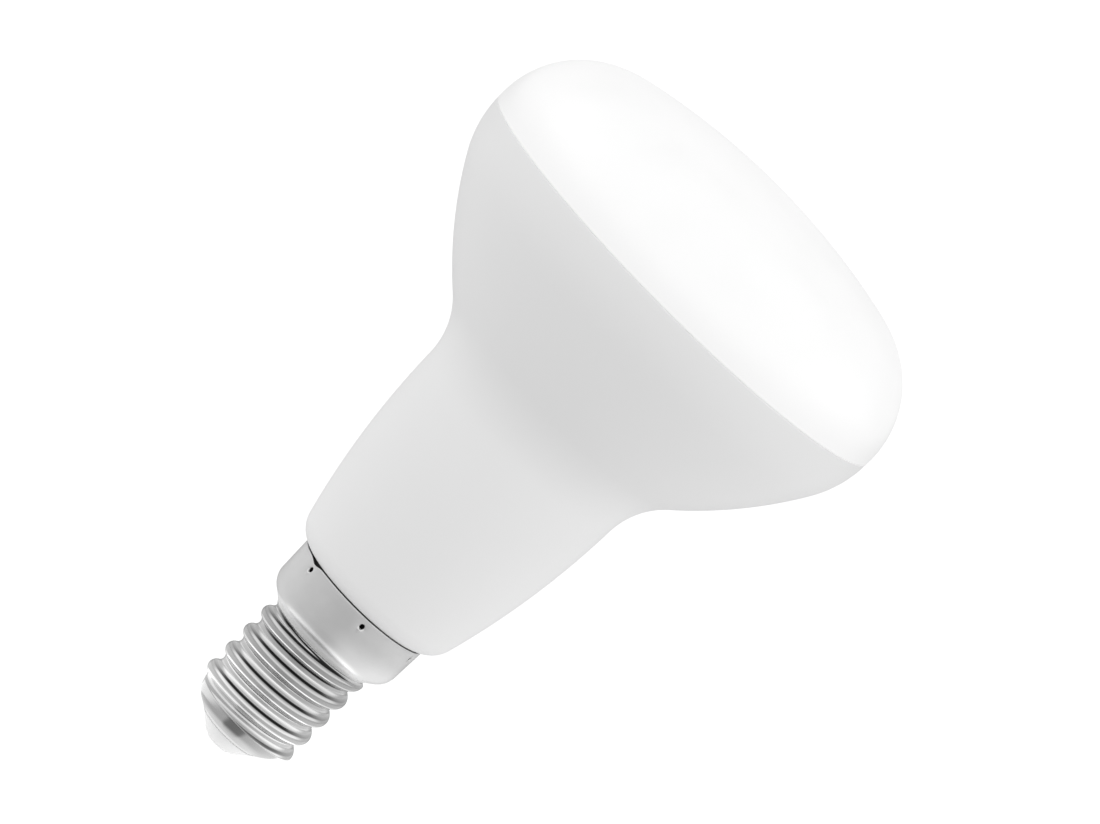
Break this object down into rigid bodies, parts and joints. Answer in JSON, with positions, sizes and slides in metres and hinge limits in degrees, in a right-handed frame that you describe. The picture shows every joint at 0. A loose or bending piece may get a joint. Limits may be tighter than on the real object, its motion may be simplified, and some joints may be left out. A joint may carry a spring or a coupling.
{
  "type": "reflector bulb",
  "caption": "Reflector lamp with a flared white housing, a domed opal diffuser and a small rolled screw cap that carries and feeds it.",
  "frame": {"origin": "centre of the centre contact's flat face, on the lamp's axis, which is the tip of the cap", "axes": "+Z along the lamp's axis from the cap to the diffuser; +X through a crest of the thread"},
  "size_m": [0.056, 0.056, 0.0864],
  "materials": {
    "opal_cover": "opal white, satin, lets light through without being clear",
    "white_body": "white moulded plastic, fine satin texture",
    "plated_shell": "bright nickel plate on rolled sheet, slightly drawn",
    "white_insulator": "white moulded insulator, satin",
    "contact_metal": "tinned contact, lightly worn"
  },
  "bodies": {
    "root": {"diffuser": "opal_cover", "housing": "white_body", "screw_shell": "plated_shell", "insulator": "white_insulator", "centre_contact": "contact_metal"}
  },
  "joints": []
}
